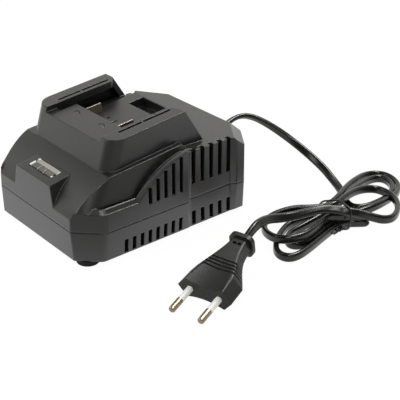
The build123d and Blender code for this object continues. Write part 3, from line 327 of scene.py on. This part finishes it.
def noise(nodes, links, place, scale, detail):
    """Noise texture on the object's own coordinates."""
    texture = nodes.new("ShaderNodeTexNoise")
    texture.inputs["Scale"].default_value = scale
    texture.inputs["Detail"].default_value = detail
    join(links, (place, "Object", texture, "Vector"))
    return texture


def moulded(
    name, colour, rough, grain=900.0, grain_depth=0.00004, edge=0.0, mottle=0.12, metallic=0.0, specular=0.5,
    painted_shade_reach=0.0,
):
    """Moulded or machined surface with fine grain, slight changes of colour and gloss, and soft edges.

    Where other surfaces close it in within the painted shade's reach, its colour falls off to black: painted
    shade in hollows and enclosed places.
    """
    material = bpy.data.materials.new(name)
    material.use_nodes = True
    nodes, links = material.node_tree.nodes, material.node_tree.links
    shader = nodes["Principled BSDF"]
    shader.inputs["Metallic"].default_value = metallic
    shader.inputs["Specular IOR Level"].default_value = specular
    place = nodes.new("ShaderNodeTexCoord")
    cloud = noise(nodes, links, place, MOTTLE_SCALE, MOTTLE_DETAIL)
    ramp = nodes.new("ShaderNodeValToRGB")
    low = [c * (1 - mottle) for c in colour]
    high = [min(1.0, c * (1 + mottle)) for c in colour]
    for stop, position, tint in zip(ramp.color_ramp.elements, MOTTLE_SPAN, (low, high)):
        stop.position = position
        stop.color = (*tint, 1)
    join(links, (cloud, "Fac", ramp, "Fac"), (ramp, "Color", shader, "Base Color"))
    # Painted shade: the base colour is mixed towards black where other surfaces close the surface in.
    if painted_shade_reach:
        openness = nodes.new("ShaderNodeAmbientOcclusion")
        openness.samples = RAY_SAMPLES
        openness.inputs["Distance"].default_value = painted_shade_reach
        fade = map_range(nodes, PAINTED_SHADE_SPAN, (0, 1))
        shade = nodes.new("ShaderNodeMix")
        shade.data_type = "RGBA"
        shade.inputs["A"].default_value = BLACK
        join(
            links,
            (openness, "AO", fade, "Value"),
            (fade, "Result", shade, "Factor"),
            (ramp, "Color", shade, "B"),
            (shade, "Result", shader, "Base Color"),
        )
    rough_span = (max(LEAST_ROUGH, rough - GLOSS_CHANGE), min(1.0, rough + GLOSS_CHANGE))
    gloss = map_range(nodes, (0, 1), rough_span)
    fine = noise(nodes, links, place, grain, GRAIN_DETAIL)
    bump = nodes.new("ShaderNodeBump")
    bump.inputs["Strength"].default_value = 1.0
    bump.inputs["Distance"].default_value = grain_depth
    join(
        links,
        (fine, "Fac", gloss, "Value"),
        (gloss, "Result", shader, "Roughness"),
        (fine, "Fac", bump, "Height"),
        (bump, "Normal", shader, "Normal"),
    )
    if edge:
        bevel = nodes.new("ShaderNodeBevel")
        bevel.samples = RAY_SAMPLES
        bevel.inputs["Radius"].default_value = edge
        join(links, (bevel, "Normal", bump, "Normal"))
    return material


# Painted shade: the case goes black inside its slots and hollows, and the inner parts go black where the
# case encloses them.
case = moulded("case_plastic", (0.009, 0.009, 0.0088), 0.36, edge=0.001, specular=0.76, painted_shade_reach=CASE_PAINTED_SHADE_REACH)
rubber = moulded("soft_rubber", (0.008, 0.008, 0.008), 0.7, specular=0.2)
steel = moulded("zinc_steel", (0.55, 0.55, 0.54), 0.35, metallic=1.0)
nickel = moulded("nickel_blade", (0.52, 0.47, 0.38), 0.3, grain_depth=0.00001, metallic=1.0, edge=0.0003)
brass = moulded("pin_brass", (0.50, 0.42, 0.30), 0.32, grain_depth=0.000003, metallic=1.0)
board = moulded("circuit_board", (0.03, 0.16, 0.07), 0.4, painted_shade_reach=INSIDE_PAINTED_SHADE_REACH)
dark = moulded("dark_resin", (0.03, 0.03, 0.032), 0.45, painted_shade_reach=INSIDE_PAINTED_SHADE_REACH)
tape = moulded("winding_tape", (0.70, 0.55, 0.10), 0.4, painted_shade_reach=INSIDE_PAINTED_SHADE_REACH)
sleeve = moulded("capacitor_sleeve", (0.04, 0.05, 0.09), 0.3, painted_shade_reach=INSIDE_PAINTED_SHADE_REACH)
sink = moulded("sink_aluminium", (0.65, 0.65, 0.66), 0.4, metallic=1.0, painted_shade_reach=INSIDE_PAINTED_SHADE_REACH)
copper = moulded("enamelled_copper", (0.50, 0.20, 0.08), 0.3, metallic=0.8, painted_shade_reach=INSIDE_PAINTED_SHADE_REACH)
film = moulded("film_box", (0.75, 0.58, 0.18), 0.3, painted_shade_reach=INSIDE_PAINTED_SHADE_REACH)
glass = moulded("fuse_glass", (0.80, 0.85, 0.85), 0.1)
light_plastic = moulded("light_plastic", (0.93, 0.93, 0.92), 0.35, grain_depth=0.000005, mottle=0.03)
wire = moulded("wire_pvc", (0.25, 0.04, 0.04), 0.35, painted_shade_reach=INSIDE_PAINTED_SHADE_REACH)
cord_pvc = moulded("cord_pvc", (0.008, 0.008, 0.0075), 0.25, grain_depth=0.000001, specular=0.38)
plug_pvc = moulded(
    "plug_pvc", (0.009, 0.009, 0.009), 0.46, grain=1300.0, grain_depth=0.00009, edge=0.0003, specular=0.48
)
tie_wire = moulded("tie_wire", (0.006, 0.006, 0.006), 0.4)
# Lens finishes: the near-white one is a painted highlight and the near-black base is painted shade; the bar
# and the wells are the lens's own colours.
lens_finish = {
    "painted_shade_tray": moulded("lens_painted_shade_tray", (0.02, 0.02, 0.02), 0.2, grain_depth=0.000004),
    "bar": moulded("lens_bar", (0.36, 0.35, 0.34), 0.15, grain_depth=0.000004, mottle=0.08),
    "painted_glint": moulded("lens_painted_glint", (0.95, 0.95, 0.94), 0.15, grain_depth=0.000004, mottle=0.03),
    "well": moulded("lens_well", (0.12, 0.108, 0.096), 0.2, grain_depth=0.000004, mottle=0.2),
}

# The material of each CAD node.
FINISH = {
    "upper_shell": case, "lower_shell": case, "rubber_feet": rubber, "case_screws": steel,
    "board_screws": steel, "main_board": board, "transformer_core": dark,
    "transformer_winding": tape, "bulk_capacitor": sleeve, "output_capacitors": sleeve,
    "heat_sink": sink, "power_devices": dark, "mains_choke": copper, "fuse_tube": glass,
    "fuse_clips": nickel, "film_capacitor": film, "terminal_block": case,
    "contact_blades": nickel, "signal_contacts": nickel, "status_lens": lens_finish["bar"],
    "led_reflector": light_plastic, "led_chips": light_plastic, "led_board": board,
    "mains_wires": wire, "battery_wires": wire, "strain_relief": rubber, "cord_lead": cord_pvc,
    "cord_hank": cord_pvc, "cord_tail": cord_pvc, "twist_tie": tie_wire, "plug_body": plug_pvc,
    "plug_pins": brass, "pin_sleeves": light_plastic,
}
for node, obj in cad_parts.items():
    for place in obj.material_slots:
        place.material = FINISH[node]
lead.data.materials.append(cord_pvc)
tie.data.materials.append(tie_wire)
for name in LENS_FINISHES:
    lens_block.data.materials.append(lens_finish[name])


# ---- floor, backdrop and light ----
# Lengths are in metres. Mirrored in the object, the floor dims over the pool's span towards its dark side,
# and the backdrop brightens over the side's span towards its bright side and dims over the height's span.
FLOOR_HALF_SIDE = 4
FLOOR_Z = -0.0001
FLOOR_COLOUR = (0.85, 0.85, 0.85, 1)
FLOOR_SEEN = 1.06
FLOOR_GLOW_SHARE = 0.9
POOL_SPAN = (0.045, 0.13)
WORLD_COLOUR = (1, 0.99, 0.93, 1)
WORLD_SEEN = 1.0
WORLD_EVEN = 0.8
SIDE_SPAN = (-0.35, 0.75)
HEIGHT_SPAN = (0.44, 0.75)
HIGH_SHARE = 0.3
# Each lamp has its place, its target, its side, its power, and whether matt surfaces show its light.
LAMPS = {
    "back_light": ((0.03, 0.62, 1.0), (0.03, 0.03, 0.03), 0.35, 11.0, False),
    "ridge_light": ((0.55, 0.1, 1.05), (0.03, 0.0, 0.03), 0.3, 3.0, False),
    "camera_light": ((0.95, -0.5, 0.95), (0.03, 0.0, 0.03), 0.3, 4.5, False),
    "key": ((-0.5, -1.0, 0.9), (0, 0, 0.03), 0.6, 5.0, True),
}


def math_node(nodes, operation):
    """Math node of one operation."""
    node = nodes.new("ShaderNodeMath")
    node.operation = operation
    return node


def turned_axes(nodes, links, output, angle):
    """X, Y and Z of a texture coordinate, with X turned towards an angle in degrees round the room."""
    place = nodes.new("ShaderNodeTexCoord")
    turned = nodes.new("ShaderNodeMapping")
    turned.inputs["Rotation"].default_value = (0, 0, math.radians(-angle))
    axes = nodes.new("ShaderNodeSeparateXYZ")
    join(links, (place, output, turned, "Vector"), (turned, "Vector", axes, "Vector"))
    return axes


def make_floor(bright, dim, dark_side):
    """Large pale floor that the camera sees as white, with the object's soft shadow.

    Mirrored in the object it is bright, except towards the dark side of the room.
    """
    mesh = bmesh.new()
    bmesh.ops.create_grid(mesh, x_segments=2, y_segments=2, size=FLOOR_HALF_SIDE)
    data = bpy.data.meshes.new("floor")
    mesh.to_mesh(data)
    mesh.free()
    floor = bpy.data.objects.new("floor", data)
    scene.collection.objects.link(floor)
    floor.location.z = FLOOR_Z
    material = bpy.data.materials.new("floor")
    material.use_nodes = True
    nodes, links = material.node_tree.nodes, material.node_tree.links
    nodes.clear()
    output = nodes.new("ShaderNodeOutputMaterial")
    mix = nodes.new("ShaderNodeMixShader")
    diffuse = nodes.new("ShaderNodeBsdfDiffuse")
    diffuse.inputs["Color"].default_value = FLOOR_COLOUR
    glow = nodes.new("ShaderNodeEmission")
    path = nodes.new("ShaderNodeLightPath")
    axes = turned_axes(nodes, links, "Object", dark_side)
    pool = map_range(nodes, POOL_SPAN, (bright, dim), smooth=True)
    level = nodes.new("ShaderNodeMix")
    level.inputs["B"].default_value = FLOOR_SEEN
    seen = math_node(nodes, "MAXIMUM")
    share = math_node(nodes, "MULTIPLY")
    share.inputs[1].default_value = FLOOR_GLOW_SHARE
    join(
        links,
        (axes, "X", pool, "Value"),
        (pool, "Result", level, "A"),
        (path, "Is Camera Ray", level, "Factor"),
        (level, "Result", glow, "Strength"),
        (path, "Is Camera Ray", seen, 0),
        (path, "Is Glossy Ray", seen, 1),
        (seen, "Value", share, 0),
        (share, "Value", mix, "Fac"),
        (diffuse, "BSDF", mix, 1),
        (glow, "Emission", mix, 2),
        (mix, "Shader", output, "Surface"),
    )
    data.materials.append(material)


def make_world(bright, dim, bright_side):
    """White to the camera and through glass, and even as diffuse light.

    Mirrored in the object it is bright low down on one side of the room.
    """
    world = bpy.data.worlds.new("studio")
    scene.world = world
    world.use_nodes = True
    nodes, links = world.node_tree.nodes, world.node_tree.links
    background = nodes["Background"]
    background.inputs["Color"].default_value = WORLD_COLOUR
    axes = turned_axes(nodes, links, "Generated", bright_side)
    around = map_range(nodes, SIDE_SPAN, (dim, bright), smooth=True)
    height = map_range(nodes, HEIGHT_SPAN, (1.0, HIGH_SHARE), smooth=True)
    level = math_node(nodes, "MULTIPLY")
    path = nodes.new("ShaderNodeLightPath")
    seen = math_node(nodes, "MAXIMUM")
    even = nodes.new("ShaderNodeMix")
    even.inputs["B"].default_value = WORLD_EVEN
    mix = nodes.new("ShaderNodeMix")
    mix.inputs["B"].default_value = WORLD_SEEN
    join(
        links,
        (axes, "X", around, "Value"),
        (axes, "Z", height, "Value"),
        (around, "Result", level, 0),
        (height, "Result", level, 1),
        (path, "Is Camera Ray", seen, 0),
        (path, "Is Transmission Ray", seen, 1),
        (path, "Is Diffuse Ray", even, "Factor"),
        (level, "Value", even, "A"),
        (seen, "Value", mix, "Factor"),
        (even, "Result", mix, "A"),
        (mix, "Result", background, "Strength"),
    )


def softbox(name, place, target, side, power, on_matt):
    """Square area lamp aimed at a point."""
    data = bpy.data.lights.new(name, "AREA")
    data.shape = "RECTANGLE"
    data.size = data.size_y = side
    data.energy = power
    lamp = bpy.data.objects.new(name, data)
    lamp.location = place
    lamp.rotation_mode = "QUATERNION"
    lamp.rotation_quaternion = (Vector(place) - Vector(target)).to_track_quat("Z", "Y")
    lamp.visible_diffuse = on_matt
    scene.collection.objects.link(lamp)


make_floor(bright=1.32, dim=0.5, dark_side=-41)
make_world(bright=1.14, dim=0.12, bright_side=144)
for lamp_name, settings in LAMPS.items():
    softbox(lamp_name, *settings)

scene.view_settings.view_transform = "Standard"
